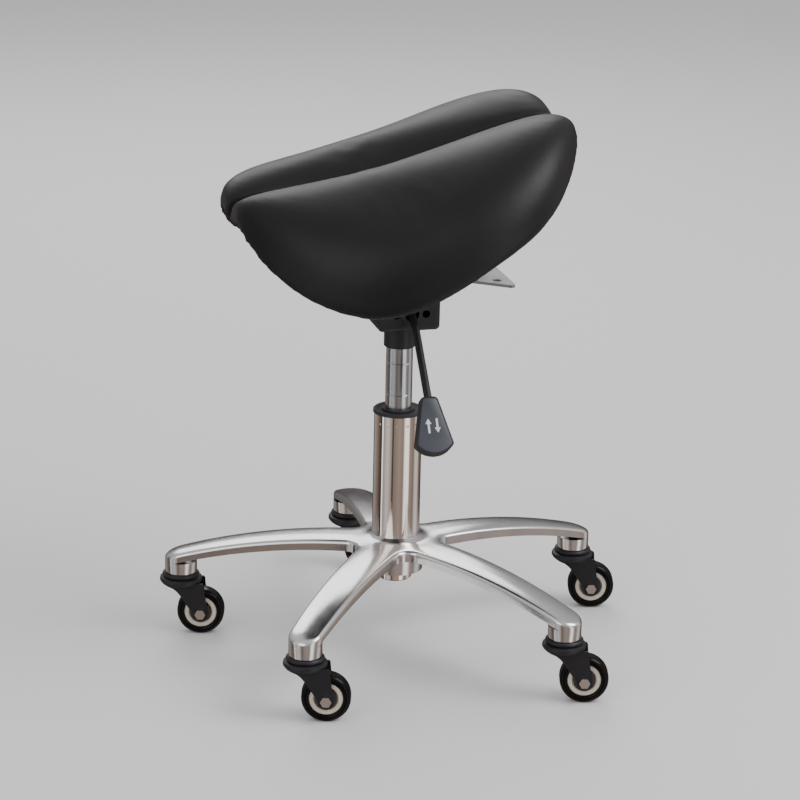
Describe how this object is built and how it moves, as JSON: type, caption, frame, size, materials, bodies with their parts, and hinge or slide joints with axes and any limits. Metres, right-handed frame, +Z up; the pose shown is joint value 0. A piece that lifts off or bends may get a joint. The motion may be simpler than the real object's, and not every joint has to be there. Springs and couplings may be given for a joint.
{
  "type": "saddle stool",
  "caption": "Height-adjustable split saddle stool with a gas-lift column, side lever and cast star base on swivel casters.",
  "frame": {"origin": "on the floor, under the column axis", "axes": "+Z up, -Y towards the narrow front of the seat, +X towards the lever at the left hand of the sitter"},
  "size_m": [0.4623, 0.5013, 0.5821],
  "materials": {
    "cast_aluminium": "polished casting, faint flow marks",
    "chrome": "mirror",
    "brushed_steel": "fine turned lines",
    "black_plastic": "satin moulded",
    "steel": "bright zinc plate",
    "rubber": "matte",
    "brass": "machined",
    "black_paint": "satin black paint",
    "black_leather": "matte satin, fine grain",
    "zinc_steel": "bright zinc",
    "tread": "smooth polyurethane, satin",
    "cream_nylon": "moulded, semi gloss",
    "bearing_steel": "shielded bearing"
  },
  "bodies": {
    "base": {"star_base": "cast_aluminium", "column_tube": "chrome", "guide_bushing": "black_plastic", "column_end_disc": "steel", "bearing_race_lower": "steel", "thrust_bearing": "steel", "caster_stem_1": "black_paint", "caster_stem_2": "black_paint", "caster_stem_3": "black_paint", "caster_stem_4": "black_paint", "caster_stem_5": "black_paint"},
    "piston": {"piston_rod": "steel", "rod_clip": "steel", "rubber_buffer": "rubber", "piston_head": "black_plastic", "bearing_race_upper": "steel"},
    "seat": {"pressure_tube": "brushed_steel", "rod_gland": "black_plastic", "valve_body": "steel", "taper_socket": "black_paint", "mechanism_housing": "black_paint", "seat_plate": "steel", "lever_grommet": "black_plastic", "seat_shell_left": "black_plastic", "seat_shell_right": "black_plastic", "threaded_inserts": "brass", "seat_bolts": "steel", "cushion_left": "black_leather", "cushion_right": "black_leather"},
    "lever": {"lever_rod": "black_paint", "lever_paddle": "black_plastic"},
    "valve": {"valve_pin": "steel"},
    "caster_1": {"caster_fork_1": "black_paint", "axle_bolt_1": "zinc_steel"},
    "wheel_1": {"wheel_tread_1": "tread", "wheel_core_1": "cream_nylon", "wheel_bearings_1": "bearing_steel"},
    "caster_2": {"caster_fork_2": "black_paint", "axle_bolt_2": "zinc_steel"},
    "wheel_2": {"wheel_tread_2": "tread", "wheel_core_2": "cream_nylon", "wheel_bearings_2": "bearing_steel"},
    "caster_3": {"caster_fork_3": "black_paint", "axle_bolt_3": "zinc_steel"},
    "wheel_3": {"wheel_tread_3": "tread", "wheel_core_3": "cream_nylon", "wheel_bearings_3": "bearing_steel"},
    "caster_4": {"caster_fork_4": "black_paint", "axle_bolt_4": "zinc_steel"},
    "wheel_4": {"wheel_tread_4": "tread", "wheel_core_4": "cream_nylon", "wheel_bearings_4": "bearing_steel"},
    "caster_5": {"caster_fork_5": "black_paint", "axle_bolt_5": "zinc_steel"},
    "wheel_5": {"wheel_tread_5": "tread", "wheel_core_5": "cream_nylon", "wheel_bearings_5": "bearing_steel"}
  },
  "joints": [
    {"name": "seat_swivel", "type": "hinge", "parent": "base", "child": "piston", "pos_m": [0, 0, 0.083], "axis": [0, 0, 1], "continuous": true},
    {"name": "seat_height", "type": "slide", "parent": "piston", "child": "seat", "axis": [0, 0, 1], "range_m": [-0.054, 0.066]},
    {"name": "lever_lift", "type": "hinge", "parent": "seat", "child": "lever", "pos_m": [0.03, 0.004, 0.37], "axis": [0, -1, 0], "range_deg": [0, 6], "stiffness_Nm_per_rad": 5},
    {"name": "valve_press", "type": "slide", "parent": "seat", "child": "valve", "axis": [0, 0, -1], "range_m": [0, 0.0032]},
    {"name": "caster_1_swivel", "type": "hinge", "parent": "base", "child": "caster_1", "pos_m": [0.18726, 0.12918, 0.0598], "axis": [0, 0, 1], "continuous": true},
    {"name": "wheel_1_roll", "type": "hinge", "parent": "caster_1", "child": "wheel_1", "pos_m": [0.19278, 0.14976, 0.025], "axis": [0.9659, -0.2588, 0], "continuous": true},
    {"name": "caster_2_swivel", "type": "hinge", "parent": "base", "child": "caster_2", "pos_m": [-0.06499, 0.21802, 0.0598], "axis": [0, 0, 1], "continuous": true},
    {"name": "wheel_2_roll", "type": "hinge", "parent": "caster_2", "child": "wheel_2", "pos_m": [-0.05948, 0.23859, 0.025], "axis": [0.9659, -0.2588, 0], "continuous": true},
    {"name": "caster_3_swivel", "type": "hinge", "parent": "base", "child": "caster_3", "pos_m": [-0.22743, 0.00556, 0.0598], "axis": [0, 0, 1], "continuous": true},
    {"name": "wheel_3_roll", "type": "hinge", "parent": "caster_3", "child": "wheel_3", "pos_m": [-0.22192, 0.02613, 0.025], "axis": [0.9659, -0.2588, 0], "continuous": true},
    {"name": "caster_4_swivel", "type": "hinge", "parent": "base", "child": "caster_4", "pos_m": [-0.07557, -0.21458, 0.0598], "axis": [0, 0, 1], "continuous": true},
    {"name": "wheel_4_roll", "type": "hinge", "parent": "caster_4", "child": "wheel_4", "pos_m": [-0.07005, -0.19401, 0.025], "axis": [0.9659, -0.2588, 0], "continuous": true},
    {"name": "caster_5_swivel", "type": "hinge", "parent": "base", "child": "caster_5", "pos_m": [0.18073, -0.13818, 0.0598], "axis": [0, 0, 1], "continuous": true},
    {"name": "wheel_5_roll", "type": "hinge", "parent": "caster_5", "child": "wheel_5", "pos_m": [0.18624, -0.1176, 0.025], "axis": [0.9659, -0.2588, 0], "continuous": true}
  ],
  "couplings": [
    {"joint": "valve_press", "follows": "lever_lift", "m_per_rad": 0.03}
  ]
}
